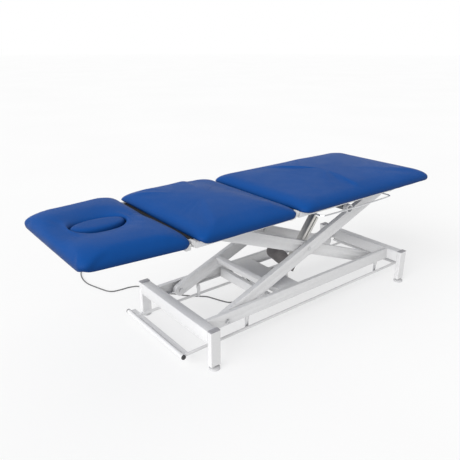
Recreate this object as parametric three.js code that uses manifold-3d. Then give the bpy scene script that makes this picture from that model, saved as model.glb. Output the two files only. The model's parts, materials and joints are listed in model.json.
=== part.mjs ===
// A three-section electric treatment couch: a scissor-lift base on four levelling feet, a padded top in
// three sections (head, seat, long leg section) and a foot-operated switch bar round the base.
// Millimetres. X runs to the foot end, -Y is the near side, +Z is up, the floor is z = 0.
// Lengths are laid out from the middle of the base and the whole couch is centred at the end.
import * as THREE from "three";
import { mergeVertices } from "three/addons/utils/BufferGeometryUtils.js";
import Module from "manifold-3d";

const wasm = await Module();
wasm.setup();

// ---- clearances ----
const GAP = 0.3; // between pieces that touch
const PIN_FIT = 0.3; // round a pin in its bore, on the radius

// ---- base frame ----
const BASE_LENGTH = 1364;
const BASE_WIDTH = 600;
const TUBE_WIDE = 50;
const TUBE_THIN = 25;
const TUBE_ROUND = 3;
const FOOT_HEIGHT = 20; // floor to the bottom of the leg tube
const LEG_TOP = 183;
const BEAM_DEPTH = 59;
const CAP_THICK = 3.5;
const FOOT_DISC_RADIUS = 25;
const FOOT_DISC_THICK = 14;
const FOOT_STEM_RADIUS = 5;
const FOOT_STEM_LENGTH = 42;
const RAIL_SPREAD = 421; // across the outer faces of the two base rails
const RAIL_WIDTH = 20;
const RAIL_WALL = 3;
const STOP_LENGTH = 12;

// ---- scissor lift ----
const PIVOT_INSET = 157; // base end to the fixed lower pivot
const PIVOT_Z = 141;
const REST_ANGLE = THREE.MathUtils.degToRad(20.76);
const ARM_DEPTH = 60;
const ARM_THICK = 25;
const ARM_CLEAR = 3; // washer between the inner and outer arms
const RAIL_CLEAR = 2; // between a base rail and the outer arm
const PIN_RADIUS = 8;
const BOLT_HEAD_RADIUS = 10;
const BOLT_HEAD_THICK = 6;
const WASHER_RADIUS = 13;
const WASHER_THICK = 2;
const SOCKET_RADIUS = 5.5; // hexagon socket in a bolt head, across its corners
const SOCKET_DEPTH = 3;
const TOP_ROLLER_RADIUS = 26;
const ROLLER_THICK = 12;
const TIE_ALONG = 25;
const TIE_PERP = 40;
const LOWER_TIE_AT = 257; // along arm A from the fixed lower pivot
const UPPER_TIE_AT = 230; // along arm B from its top pivot
const THRUST_FROM_CENTRE = 321.6; // middle of the scissor to the thrust bar
const THRUST_LIFT = THREE.MathUtils.degToRad(6.44); // above the middle line of arm A
const THRUST_RADIUS = 15;
const THRUST_EAR_RADIUS = 24;
const LOWERING = THREE.MathUtils.degToRad(7.2); // how far arm A folds down from rest
const RELIEF = 3; // round the thrust bar, in the notch of each chassis rail

// ---- actuator ----
const ACTUATOR_FOOT_X = 13;
const ACTUATOR_FOOT_Z = 118;
const ACTUATOR_EYE_RADIUS = 14;
const ACTUATOR_EYE_HALF = 13;
const ACTUATOR_TUBE_WIDE = 46;
const ACTUATOR_TUBE_THIN = 40;
const ACTUATOR_TUBE_FROM = 71; // from the lower eye, along the actuator
const ACTUATOR_TUBE_TO = 366;
const ACTUATOR_TAIL_WIDE = 30;
const SPINDLE_RADIUS = 10;
const SPINDLE_LENGTH = 285;
const SPINDLE_BORE_FROM = 100;
const MOTOR_RADIUS = 36;
const MOTOR_LENGTH = 105;
const MOTOR_TILT = THREE.MathUtils.degToRad(138); // of the motor axis, from +X
const GEARBOX_LENGTH = 55;
const MOTOR_SIDE = 18; // actuator axis to the root of the motor housing

// ---- parts fixed between the base rails ----
const CROSS_TUBE_X = -247.5;
const CROSS_TUBE_TOP = 172;
const CROSS_TUBE_DEPTH = 49;
const PLATE_X0 = -200;
const PLATE_X1 = -70;
const PLATE_THICK = 5;
const PLATE_FLANGE = 28;
const CHEEK_GAP = 15; // middle of the couch to the inner face of each cheek
const CHEEK_THICK = 6;
const BOX_MARGIN = 12; // control box inside the plate's flanges
const BOX_HALF_WIDTH = 80;
const BOX_DEPTH = 46;

// ---- top frame ----
const TOP_WEB = 4;
const TOP_FLANGE = 6;
const TOP_RAIL_WIDTH = 20;
const TOP_RAIL_HEAD = 60; // past the fixed top pivot, towards the head
const TOP_RAIL_FOOT = 75; // past the rest place of the top roller, towards the foot
const ROLLER_UNDER = 3; // below the top roller
const CROSS_DEPTH = 32;
const FRAME_TUBE = 25;
const FRAME_HALF_WIDTH = 305;
const HINGE_EAR_RADIUS = 9;
const HINGE_PIN_RADIUS = 4;
const HINGE_SETBACK = 12; // hinge axis to the end of each frame
const LEG_HINGE_X = -216;

// ---- cushions ----
const COUCH_WIDTH = 678;
const CUSHION_EDGE = 50;
const CUSHION_CROWN = 10;
const CUSHION_INSET = 80; // how far the soft edge reaches in over the top
const CUSHION_CORNER = 55;
const HEAD_LENGTH = 421;
const SEAT_LENGTH = 520;
const LEG_LENGTH = 979;
const CUSHION_SPLIT = 10; // hinge axis to the end of each cushion
const HEAD_END_WIDTH = 590;
const HEAD_ROOT_WIDTH = 670;
const FACE_HOLE_LENGTH = 225;
const FACE_HOLE_WIDTH = 125;
const FACE_HOLE_FROM_END = 200; // outer end of the head cushion to the middle of the hole
const PLUG_RECESS = 9;
const PLUG_CROWN = 6;
const PLUG_FIT = 1.5;

// ---- section frames ----
const LEG_FRAME_SIDE = 684; // length of the outer tubes
const LEG_FRAME_LENGTH = 924;
const INNER_TUBE_Y = 200;
const HEAD_FRAME_LENGTH = 381;
const HEAD_TUBE_Y = 227.5;

// ---- gas springs ----
// pin: middle of the body end; eye: middle of the rod end; drops are below the section frames' tubes;
// dip: room for the rod to run in from rest
const GAS_PIN_RADIUS = 7;
const GAS_EYE_RADIUS = 12;
const GAS_EYE_HALF = 8;
const GAS_LUG_GAP = 12;
const GAS_LUG_THICK = 5;
const GAS_ROD_RADIUS = 5;
const LEG_GAS = { pinX: 440, pinDrop: 16.6, eyeX: -100, eyeDrop: 26.6, body: 330, rod: 300, radius: 14, dip: 20 };
const HEAD_GAS = { pinX: -560, pinDrop: 30.6, eyeX: -800, eyeDrop: 58.6, body: 150, rod: 155, radius: 11, dip: 50 };

// ---- release bail ----
const BAIL_RADIUS = 4;
const BAIL_FIT = 0.6; // round the bent rod in its lugs, on the radius
const BAIL_Y = -300;
const BAIL_AXIS_Y = -218;
const BAIL_DROP = 28.6; // below the section frames' tubes
const BAIL_X0 = -48;
const BAIL_X1 = 467;
const BAIL_TAIL = 36;
const BAIL_BEND = 14;

// ---- foot switch bar ----
const ROD_RADIUS = 7;
const ROD_INSET = 7; // middle of a switch bar rod, inside the outer face of its rail
const ROD_Z = 60;
const PEDAL_OVERHANG = 80; // base end to the pedal's middle line
const PEDAL_RADIUS = 10;
const PEDAL_NEAR = 212; // middle of the couch to each end of a pedal
const PEDAL_FAR = 268;
const PEDAL_MARGIN = 4; // tread inside the pedal tube
const TREAD_WIDE = 26;
const TREAD_THICK = 7;
const LINK_PIVOT_Z = 109;
const LINK_THICK = 5;
const LINK_WIDE = 18;
const LINK_PIN_RADIUS = 4;
const LINK_HEAD_X = -400;
const LINK_FOOT_X = 552;

// ---- mains lead ----
const LEAD_RADIUS = 3.5;
const GLAND_X = -172;
const GLAND_Y = 62;
const GLAND_LENGTH = 44;
const COIL_RADIUS = 40; // of the middle turn
const COIL_WIDE = 21;
const COIL_HIGH = 14;
const COIL_X = -560;
const COIL_Y = 1165;
const PLUG_RADIUS = 19;

// ---- derived levels ----
const railOuter = RAIL_SPREAD / 2;
const railInner = railOuter - RAIL_WIDTH;
const rodY = railOuter - ROD_INSET;
const armAOuter = railInner - RAIL_CLEAR;
const armAInner = armAOuter - ARM_THICK;
const armBOuter = armAInner - ARM_CLEAR;
const armBInner = armBOuter - ARM_THICK;
const topRailOuter = armBInner - ARM_CLEAR;
const topRailInner = topRailOuter - TOP_RAIL_WIDTH;
const halfSpan = BASE_LENGTH / 2 - PIVOT_INSET;
const armLength = (2 * halfSpan) / Math.cos(REST_ANGLE);
const rise = armLength * Math.sin(REST_ANGLE);
const topPivotZ = PIVOT_Z + rise;
const beamInnerX = BASE_LENGTH / 2 - TUBE_WIDE;
const railBottom = LEG_TOP - BEAM_DEPTH;
const baseRollerRadius = PIVOT_Z - railBottom - RAIL_WALL - GAP;
const topRailBottom = topPivotZ - TOP_ROLLER_RADIUS - ROLLER_UNDER - TOP_FLANGE;
const topRailTop = topPivotZ + TOP_ROLLER_RADIUS + GAP + TOP_FLANGE;
const frameTop = topRailTop + GAP + CROSS_DEPTH;
const frameBottom = frameTop - FRAME_TUBE;
const bailZ = frameBottom - BAIL_DROP;
const cushionZ = frameTop + GAP;
const headHingeX = LEG_HINGE_X - 2 * CUSHION_SPLIT - SEAT_LENGTH;
const headEndX = headHingeX - CUSHION_SPLIT - HEAD_LENGTH;
const footEndX = LEG_HINGE_X + CUSHION_SPLIT + LEG_LENGTH;
const thrustX = THRUST_FROM_CENTRE * Math.cos(REST_ANGLE + THRUST_LIFT);
const thrustZ = PIVOT_Z + rise / 2 + THRUST_FROM_CENTRE * Math.sin(REST_ANGLE + THRUST_LIFT);
const SIDES = [
  ["near", -1],
  ["far", 1],
];

// ---- solid helpers ----
const sorted = (a, b) => (a < b ? [a, b] : [b, a]);
const closed = (geometry) => {
  const g = geometry.clone();
  g.deleteAttribute("normal");
  g.deleteAttribute("uv");
  const m = mergeVertices(g, 1e-3);
  const build = (index) =>
    new wasm.Manifold(
      new wasm.Mesh({
        numProp: 3,
        vertProperties: m.attributes.position.array,
        triVerts: index,
      }),
    );
  const index = new Uint32Array(m.index.array);
  const made = build(index);
  if (made.volume() > 0) return made;
  for (let i = 0; i < index.length; i += 3) [index[i + 1], index[i + 2]] = [index[i + 2], index[i + 1]];
  return build(index);
};
const opened = (manifold) => {
  const m = manifold.getMesh();
  const v = new Float32Array(m.numVert * 3);
  for (let i = 0; i < m.numVert; i++) v.set(m.vertProperties.subarray(i * m.numProp, i * m.numProp + 3), i * 3);
  return new THREE.BufferGeometry()
    .setAttribute("position", new THREE.BufferAttribute(v, 3))
    .setIndex(new THREE.BufferAttribute(m.triVerts, 1));
};
const join = (...parts) => opened(parts.map(closed).reduce((a, b) => a.add(b)));
const cut = (body, ...tools) => opened(tools.map(closed).reduce((a, b) => a.subtract(b), closed(body)));

// A flat outline drawn in the two other axes, run along one axis from one value to another.
const prism = (shape, axis, from, to, curveSegments = 3) => {
  const g = new THREE.ExtrudeGeometry(shape, { depth: to - from, bevelEnabled: false, curveSegments });
  if (axis === "x") g.applyMatrix4(new THREE.Matrix4().set(0, 0, 1, from, 1, 0, 0, 0, 0, 1, 0, 0, 0, 0, 0, 1));
  if (axis === "y") g.applyMatrix4(new THREE.Matrix4().set(1, 0, 0, 0, 0, 0, -1, to, 0, 1, 0, 0, 0, 0, 0, 1));
  if (axis === "z") g.translate(0, 0, from);
  return g;
};
const roundedRect = (u0, u1, v0, v1, r) => {
  const s = new THREE.Shape();
  s.moveTo(u0 + r, v0).lineTo(u1 - r, v0).absarc(u1 - r, v0 + r, r, -Math.PI / 2, 0);
  s.lineTo(u1, v1 - r).absarc(u1 - r, v1 - r, r, 0, Math.PI / 2);
  s.lineTo(u0 + r, v1).absarc(u0 + r, v1 - r, r, Math.PI / 2, Math.PI);
  s.lineTo(u0, v0 + r).absarc(u0 + r, v0 + r, r, Math.PI, 1.5 * Math.PI);
  return s;
};
// A square-cornered block, and a bar along one axis with its four long edges rounded.
const block = (x0, x1, y0, y1, z0, z1) =>
  new THREE.BoxGeometry(x1 - x0, y1 - y0, z1 - z0).translate((x0 + x1) / 2, (y0 + y1) / 2, (z0 + z1) / 2);
const bar = (axis, x0, x1, y0, y1, z0, z1, r = TUBE_ROUND) => {
  if (axis === "x") return prism(roundedRect(y0, y1, z0, z1, r), "x", x0, x1, 1);
  if (axis === "y") return prism(roundedRect(x0, x1, z0, z1, r), "y", y0, y1, 1);
  return prism(roundedRect(x0, x1, y0, y1, r), "z", z0, z1, 1);
};
// A round pin along an axis: a and b are its place on the two other axes, in their order.
const pin = (axis, r, from, to, a, b, sides = 16) => {
  const g = new THREE.CylinderGeometry(r, r, Math.abs(to - from), sides);
  const mid = (from + to) / 2;
  if (axis === "x") return g.rotateZ(Math.PI / 2).translate(mid, a, b);
  if (axis === "y") return g.translate(a, mid, b);
  return g.rotateX(Math.PI / 2).translate(a, b, mid);
};
// A turned piece: the profile lists [distance along, radius] from the axis out and back to it.
const turned = (profile, sides = 16) =>
  new THREE.LatheGeometry(profile.map(([along, r]) => new THREE.Vector2(r, along)), sides);
// Puts a piece drawn along +X, with its own +Z up, at a point in the X-Z plane and turns it up by an angle.
const place = (g, x, z, angle) => g.rotateY(-angle).translate(x, 0, z);
const tube = (points, r, sides, steps) => {
  const circle = new THREE.Shape().absarc(0, 0, r, 0, 2 * Math.PI);
  const path = new THREE.CatmullRomCurve3(points, false, "centripetal");
  return new THREE.ExtrudeGeometry(circle, { steps, extrudePath: path, curveSegments: sides / 2 });
};
const vec = (x, y, z) => new THREE.Vector3(x, y, z);

// ---- finishes ----
const FINISH = {
  powder: [0xd9dcdf, 0.42, 0.1],
  cap: [0x6d7074, 0.55, 0],
  foot: [0xc9cacb, 0.55, 0],
  zinc: [0xb9bcc0, 0.35, 0.85],
  bolt: [0x4a4c50, 0.4, 0.7],
  nylon: [0xe8e6df, 0.5, 0],
  motor: [0x6e6969, 0.55, 0.05],
  alloy: [0xc9c8c3, 0.38, 0.6],
  chrome: [0xd5d7da, 0.15, 0.95],
  plastic: [0x4a4d52, 0.6, 0],
  gas: [0x26282b, 0.35, 0.3],
  vinyl: [0x315fa3, 0.48, 0],
  tread: [0x8f9296, 0.6, 0.1],
  lead: [0x1d1e20, 0.6, 0],
};
const couch = new THREE.Group();
const add = (name, geometry, finish) => {
  const [color, roughness, metalness] = FINISH[finish];
  const mesh = new THREE.Mesh(geometry, new THREE.MeshStandardMaterial({ color, roughness, metalness }));
  mesh.name = name;
  couch.add(mesh);
};

// A round bolt head with a hexagon socket in its outer face, on the side that sy names.
const socketHead = (y0, y1, sy, x, z) => {
  const face = sy > 0 ? y1 : y0;
  const [s0, s1] = sorted(face - sy * SOCKET_DEPTH, face + sy);
  return cut(pin("y", BOLT_HEAD_RADIUS, y0, y1, x, z, 24), pin("y", SOCKET_RADIUS, s0, s1, x, z, 6));
};

// ---- base: legs with their caps and levelling feet ----
for (const [end, sx] of [
  ["head", -1],
  ["foot", 1],
])
  for (const [side, sy] of SIDES) {
    const x = sx * (BASE_LENGTH / 2 - TUBE_WIDE / 2);
    const y = sy * (BASE_WIDTH / 2 - TUBE_THIN / 2);
    const outline = (grow, z0, z1) =>
      bar("z", x - TUBE_WIDE / 2 - grow, x + TUBE_WIDE / 2 + grow, y - TUBE_THIN / 2 - grow,
        y + TUBE_THIN / 2 + grow, z0, z1);
    const stemTop = FOOT_HEIGHT + FOOT_STEM_LENGTH;
    add(
      `leg_${end}_${side}`,
      cut(outline(0, FOOT_HEIGHT, LEG_TOP),
        pin("z", FOOT_STEM_RADIUS + PIN_FIT, FOOT_HEIGHT - 1, stemTop + 10, x, y)),
      "powder",
    );
    const capTop = LEG_TOP + GAP + CAP_THICK;
    add(
      `cap_${end}_${side}`,
      join(outline(0.4, LEG_TOP + GAP, capTop - 1), outline(-0.6, LEG_TOP + GAP, capTop)),
      "cap",
    );
    const foot = turned([
      [0, 0],
      [0, FOOT_DISC_RADIUS - 1.5],
      [1.5, FOOT_DISC_RADIUS],
      [FOOT_DISC_THICK - 4, FOOT_DISC_RADIUS - 1],
      [FOOT_DISC_THICK, FOOT_STEM_RADIUS + 3],
      [FOOT_DISC_THICK, FOOT_STEM_RADIUS],
      [stemTop, FOOT_STEM_RADIUS],
      [stemTop, 0],
    ]);
    add(`foot_${end}_${side}`, foot.rotateX(Math.PI / 2).translate(x, y, 0), "foot");
  }

// ---- base: crossbeams, C-section rails open to the inside ----
for (const [end, sx] of [
  ["head", -1],
  ["foot", 1],
]) {
  const x = sx * (BASE_LENGTH / 2 - TUBE_WIDE / 2);
  const half = BASE_WIDTH / 2 - TUBE_THIN - GAP;
  add(
    `crossbeam_${end}`,
    bar("y", x - TUBE_WIDE / 2, x + TUBE_WIDE / 2, -half, half, railBottom, LEG_TOP),
    "powder",
  );
}
const railEnd = beamInnerX - GAP;
const linkY = rodY - ROD_RADIUS - 1.5 - LINK_THICK; // inner face of a switch bar link
for (const [side, sy] of SIDES) {
  const from = (a, b) => [Math.min(sy * a, sy * b), Math.max(sy * a, sy * b)];
  const shell = block(-railEnd, railEnd, ...from(railInner, railOuter), railBottom, LEG_TOP);
  const hollow = block(-railEnd - 1, railEnd + 1, ...from(railInner - 1, railOuter - RAIL_WALL),
    railBottom + RAIL_WALL, LEG_TOP - RAIL_WALL);
  const bore = pin("y", PIN_RADIUS + PIN_FIT, ...from(railInner - 1, railOuter + 1), -halfSpan, PIVOT_Z);
  const stop = block(railEnd - STOP_LENGTH, railEnd, ...from(railInner, railOuter - 1),
    railBottom + 1, railBottom + RAIL_WALL + 2 * baseRollerRadius);
  const hangers = [LINK_HEAD_X, LINK_FOOT_X].flatMap((x) => [
    block(x - LINK_WIDE / 2, x + LINK_WIDE / 2, ...from(linkY + LINK_THICK + 0.8, linkY + LINK_THICK + 5),
      LINK_PIVOT_Z - 10, railBottom + 1),
    pin("y", LINK_PIN_RADIUS, ...from(linkY - 1, linkY + LINK_THICK + 3), x, LINK_PIVOT_Z, 16),
  ]);
  add(`base_rail_${side}`, join(cut(shell, hollow, bore), stop, ...hangers), "powder");

  // The fixed lower pivot: a bolt with its washer outside the rail and its nut inside arm A.
  const seat = railOuter + GAP;
  const nut = armAInner - GAP;
  add(
    `pivot_bolt_${side}`,
    join(
      pin("y", PIN_RADIUS, ...from(nut - 4, seat + 2), -halfSpan, PIVOT_Z),
      pin("y", WASHER_RADIUS, ...from(seat, seat + WASHER_THICK), -halfSpan, PIVOT_Z, 28),
      socketHead(...from(seat + 1, seat + WASHER_THICK + BOLT_HEAD_THICK), sy, -halfSpan, PIVOT_Z),
      pin("y", BOLT_HEAD_RADIUS, ...from(nut - BOLT_HEAD_THICK, nut), -halfSpan, PIVOT_Z, 6),
    ),
    "zinc",
  );
}

// ---- between the base rails: cross tube, motor plate with the actuator cheeks, control box ----
const innerHalf = railInner - GAP;
add(
  "cross_tube",
  bar("y", CROSS_TUBE_X - TUBE_THIN / 2, CROSS_TUBE_X + TUBE_THIN / 2, -innerHalf, innerHalf,
    CROSS_TUBE_TOP - CROSS_TUBE_DEPTH, CROSS_TUBE_TOP),
  "powder",
);
const cheekShape = new THREE.Shape();
cheekShape.moveTo(PLATE_X1 - 1, LEG_TOP - 60).lineTo(ACTUATOR_FOOT_X, ACTUATOR_FOOT_Z - 20);
cheekShape.absarc(ACTUATOR_FOOT_X, ACTUATOR_FOOT_Z, 20, -Math.PI / 2, Math.PI / 2);
cheekShape.lineTo(ACTUATOR_FOOT_X - 50, LEG_TOP - 6).lineTo(PLATE_X1 - 1, LEG_TOP - 4);
add(
  "motor_plate",
  join(
    block(PLATE_X0, PLATE_X1, -innerHalf, innerHalf, LEG_TOP - PLATE_THICK, LEG_TOP),
    block(PLATE_X0, PLATE_X0 + PLATE_THICK, -innerHalf, innerHalf, LEG_TOP - PLATE_FLANGE, LEG_TOP),
    block(PLATE_X1 - PLATE_THICK, PLATE_X1, -innerHalf, innerHalf, LEG_TOP - PLATE_FLANGE, LEG_TOP),
    ...SIDES.flatMap(([, sy]) => {
      const [a, b] = [sy * CHEEK_GAP, sy * (CHEEK_GAP + CHEEK_THICK)].sort((p, q) => p - q);
      const boss = [b * sy > a * sy ? b : a].map((outer) => [outer, outer + sy * 5].sort((p, q) => p - q))[0];
      return [
        prism(cheekShape, "y", a, b),
        pin("y", 11, boss[0] - 0.5, boss[1] + 0.5, ACTUATOR_FOOT_X, ACTUATOR_FOOT_Z),
      ];
    }),
  ),
  "powder",
);
const boxX0 = PLATE_X0 + PLATE_THICK + BOX_MARGIN;
const boxX1 = PLATE_X1 - PLATE_THICK - BOX_MARGIN;
const boxTop = LEG_TOP - PLATE_THICK - GAP;
add(
  "control_box",
  bar("z", boxX0, boxX1, -BOX_HALF_WIDTH, BOX_HALF_WIDTH, boxTop - BOX_DEPTH, boxTop, 6),
  "plastic",
);

// ---- scissor arms ----
// Each arm is drawn along its own length with its middle at the origin, then placed and turned.
const half = armLength / 2;
const armShape = () => {
  const s = new THREE.Shape();
  s.absarc(half, 0, ARM_DEPTH / 2, -Math.PI / 2, Math.PI / 2);
  s.absarc(-half, 0, ARM_DEPTH / 2, Math.PI / 2, 1.5 * Math.PI);
  return s;
};
const centreZ = PIVOT_Z + rise / 2;
const thrustS = THRUST_FROM_CENTRE * Math.cos(THRUST_LIFT);
const thrustN = THRUST_FROM_CENTRE * Math.sin(THRUST_LIFT);
const bore = (r, s, n, y0, y1) => pin("y", r + PIN_FIT, y0 - 1, y1 + 1, s, n);
for (const [side, sy] of SIDES) {
  const [a0, a1] = sorted(sy * armAInner, sy * armAOuter);
  const [b0, b1] = sorted(sy * armBInner, sy * armBOuter);
  const axleA = sorted(sy * (armAInner + 2), sy * (topRailInner + TOP_WEB + 1));
  const armA = join(
    cut(
      join(prism(armShape(), "y", a0, a1, 8), pin("y", THRUST_EAR_RADIUS, a0, a1, thrustS, thrustN, 20)),
      bore(PIN_RADIUS, -half, 0, a0, a1),
      bore(PIN_RADIUS, 0, 0, a0, a1),
      bore(THRUST_RADIUS, thrustS, thrustN, a0, a1),
    ),
    pin("y", PIN_RADIUS, ...axleA, half, 0),
  );
  add(`arm_a_${side}`, place(armA, 0, centreZ, REST_ANGLE), "powder");

  const axleBottom = sorted(sy * (armBOuter - 2), sy * (railOuter - RAIL_WALL - GAP));
  const axleTop = sorted(sy * (armBInner + 2), sy * (topRailInner - 4));
  const armB = join(
    cut(prism(armShape(), "y", b0, b1, 8), bore(PIN_RADIUS, 0, 0, b0, b1)),
    pin("y", PIN_RADIUS, ...axleBottom, half, 0),
    pin("y", PIN_RADIUS, ...axleTop, -half, 0),
  );
  add(`arm_b_${side}`, place(armB, 0, centreZ, -REST_ANGLE), "powder");

  // The bolt that joins the two arms in the middle.
  const head = armAOuter + GAP;
  add(
    `centre_bolt_${side}`,
    join(
      pin("y", PIN_RADIUS, ...sorted(sy * (armBInner - GAP - 1), sy * (head + 0.5)), 0, centreZ),
      pin("y", BOLT_HEAD_RADIUS, ...sorted(sy * head, sy * (head + 1.4)), 0, centreZ, 24),
      pin("y", BOLT_HEAD_RADIUS, ...sorted(sy * (armBInner - GAP - 6), sy * (armBInner - GAP)), 0, centreZ, 6),
    ),
    "zinc",
  );

  const roller = (r, y) =>
    cut(
      turned([
        [-ROLLER_THICK / 2, 0],
        [-ROLLER_THICK / 2, r - 1],
        [-ROLLER_THICK / 2 + 1, r],
        [ROLLER_THICK / 2 - 1, r],
        [ROLLER_THICK / 2, r - 1],
        [ROLLER_THICK / 2, 0],
      ], 20).translate(0, y, 0),
      pin("y", PIN_RADIUS + PIN_FIT, y - ROLLER_THICK, y + ROLLER_THICK, 0, 0),
    );
  const lowY = sy * (railInner + 1.5 + ROLLER_THICK / 2 + 2);
  add(`roller_base_${side}`, roller(baseRollerRadius, lowY).translate(halfSpan, 0, PIVOT_Z), "nylon");
  const highY = sy * (topRailInner + TOP_WEB + 2 + ROLLER_THICK / 2);
  add(`roller_top_${side}`, roller(TOP_ROLLER_RADIUS, highY).translate(halfSpan, 0, topPivotZ), "nylon");
}
const tieHalfA = armAInner - GAP;
add(
  "arm_a_tie",
  place(
    bar("y", LOWER_TIE_AT - half - TIE_ALONG / 2, LOWER_TIE_AT - half + TIE_ALONG / 2, -tieHalfA, tieHalfA,
      ARM_DEPTH / 2 - TIE_PERP, ARM_DEPTH / 2),
    0, centreZ, REST_ANGLE,
  ),
  "powder",
);
const tieHalfB = armBInner - GAP;
add(
  "arm_b_tie",
  place(
    bar("y", UPPER_TIE_AT - half - TIE_ALONG / 2, UPPER_TIE_AT - half + TIE_ALONG / 2, -tieHalfB, tieHalfB,
      -TIE_ALONG, 0),
    0, centreZ, -REST_ANGLE,
  ),
  "powder",
);
const thrustHalf = armAOuter + 3;
add(
  "thrust_bar",
  place(pin("y", THRUST_RADIUS, -thrustHalf, thrustHalf, thrustS, thrustN, 20), 0, centreZ, REST_ANGLE),
  "bolt",
);

// ---- actuator: the spindle's eye turns on the thrust bar, the housing hangs from the spindle ----
const runX = thrustX - ACTUATOR_FOOT_X;
const runZ = thrustZ - ACTUATOR_FOOT_Z;
const actuatorLength = Math.hypot(runX, runZ);
const actuatorAngle = Math.atan2(runZ, runX);
const along = (r, from, to, sides = 16) => pin("x", r, from, to, 0, 0, sides);
const spindleEye = cut(
  join(
    pin("y", THRUST_RADIUS + 8, -ACTUATOR_EYE_HALF, ACTUATOR_EYE_HALF, actuatorLength, 0, 20),
    along(SPINDLE_RADIUS, actuatorLength - SPINDLE_LENGTH, actuatorLength - THRUST_RADIUS - 3),
    along(SPINDLE_RADIUS + 3, actuatorLength - THRUST_RADIUS - 16, actuatorLength - THRUST_RADIUS - 4),
  ),
  pin("y", THRUST_RADIUS + PIN_FIT, -ACTUATOR_EYE_HALF - 1, ACTUATOR_EYE_HALF + 1, actuatorLength, 0, 20),
);
add("actuator_spindle", place(spindleEye, ACTUATOR_FOOT_X, ACTUATOR_FOOT_Z, actuatorAngle), "chrome");

const tubeProfile = roundedRect(-ACTUATOR_TUBE_THIN / 2, ACTUATOR_TUBE_THIN / 2, -ACTUATOR_TUBE_WIDE / 2,
  ACTUATOR_TUBE_WIDE / 2, 7);
const grooveHalf = 3.5;
const groove = (sy) =>
  block(ACTUATOR_TUBE_FROM + 34, ACTUATOR_TUBE_TO + 1, ...sorted((sy * ACTUATOR_TUBE_THIN) / 2 + sy,
    (sy * ACTUATOR_TUBE_THIN) / 2 - 3 * sy), -grooveHalf, grooveHalf);
const tailProfile = roundedRect(-ACTUATOR_EYE_HALF, ACTUATOR_EYE_HALF, -ACTUATOR_TAIL_WIDE / 2,
  ACTUATOR_TAIL_WIDE / 2, 4);
const actuatorTube = cut(
  join(
    prism(tubeProfile, "x", ACTUATOR_TUBE_FROM, ACTUATOR_TUBE_TO),
    prism(tailProfile, "x", 12, ACTUATOR_TUBE_FROM + 4),
    pin("y", ACTUATOR_EYE_RADIUS, -ACTUATOR_EYE_HALF, ACTUATOR_EYE_HALF, 0, 0, 24),
  ),
  along(SPINDLE_RADIUS + PIN_FIT, SPINDLE_BORE_FROM, ACTUATOR_TUBE_TO + 1),
  groove(1),
  groove(-1),
  pin("y", 6, -ACTUATOR_EYE_HALF - 1, ACTUATOR_EYE_HALF + 1, 0, 0, 16),
);
add("actuator_tube", place(actuatorTube, ACTUATOR_FOOT_X, ACTUATOR_FOOT_Z, actuatorAngle), "alloy");

// The motor and its worm gearbox sit across the tube; a saddle on the tube closes the joint.
const motorTurn = MOTOR_TILT - actuatorAngle;
const gearTop = ACTUATOR_TUBE_FROM + 34 - 2;
const gearbox = cut(
  join(
    prism(roundedRect(-MOTOR_RADIUS + 9, MOTOR_RADIUS - 9, -ACTUATOR_TUBE_WIDE / 2 - 9,
      ACTUATOR_TUBE_WIDE / 2 + 20, 9), "x", ACTUATOR_TUBE_FROM - 26, gearTop),
    turned([
      [0, 0],
      [0, MOTOR_RADIUS - 8],
      [GEARBOX_LENGTH - 8, MOTOR_RADIUS - 4],
      [GEARBOX_LENGTH - 4, MOTOR_RADIUS],
      [GEARBOX_LENGTH + MOTOR_LENGTH - 12, MOTOR_RADIUS],
      [GEARBOX_LENGTH + MOTOR_LENGTH - 3, MOTOR_RADIUS - 4],
      [GEARBOX_LENGTH + MOTOR_LENGTH, MOTOR_RADIUS - 14],
      [GEARBOX_LENGTH + MOTOR_LENGTH, 0],
    ], 20)
      .rotateZ(-Math.PI / 2)
      .rotateY(-motorTurn)
      .translate(ACTUATOR_TUBE_FROM + 4, 0, MOTOR_SIDE),
  ),
  prism(roundedRect(-ACTUATOR_TUBE_THIN / 2 - GAP, ACTUATOR_TUBE_THIN / 2 + GAP,
    -ACTUATOR_TUBE_WIDE / 2 - GAP, ACTUATOR_TUBE_WIDE / 2 + GAP, 7), "x", ACTUATOR_TUBE_FROM - GAP,
    ACTUATOR_TUBE_TO),
  prism(roundedRect(-ACTUATOR_EYE_HALF - GAP, ACTUATOR_EYE_HALF + GAP, -ACTUATOR_TAIL_WIDE / 2 - GAP,
    ACTUATOR_TAIL_WIDE / 2 + GAP, 4), "x", 12, ACTUATOR_TUBE_FROM + 4),
);
add("actuator_motor", place(gearbox, ACTUATOR_FOOT_X, ACTUATOR_FOOT_Z, actuatorAngle), "motor");

// ---- top chassis: two C-section rails open to the outside, and the bars that hold the gas springs ----
const topX0 = -halfSpan - TOP_RAIL_HEAD;
const topX1 = halfSpan + TOP_RAIL_FOOT;
// Folding down carries the thrust bar up into the rails, so each rail has a notch along its path.
const thrustReach = Math.hypot(thrustX + halfSpan, thrustZ - PIVOT_Z);
const thrustTurn = Math.atan2(thrustZ - PIVOT_Z, thrustX + halfSpan) - LOWERING;
const chassisDrop = armLength * (Math.sin(REST_ANGLE) - Math.sin(REST_ANGLE - LOWERING));
const loweredX = thrustReach * Math.cos(thrustTurn) - halfSpan;
const loweredZ = PIVOT_Z + thrustReach * Math.sin(thrustTurn) + chassisDrop;
const notchRadius = THRUST_RADIUS + RELIEF;
const notchShape = new THREE.Shape();
notchShape.moveTo(thrustX - notchRadius, topRailBottom - 1);
notchShape.lineTo(loweredX + notchRadius, topRailBottom - 1).lineTo(loweredX + notchRadius, loweredZ);
notchShape.absarc(loweredX, loweredZ, notchRadius, 0, Math.PI / 2);
notchShape.lineTo(thrustX - notchRadius / 2, thrustZ + notchRadius);
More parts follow.
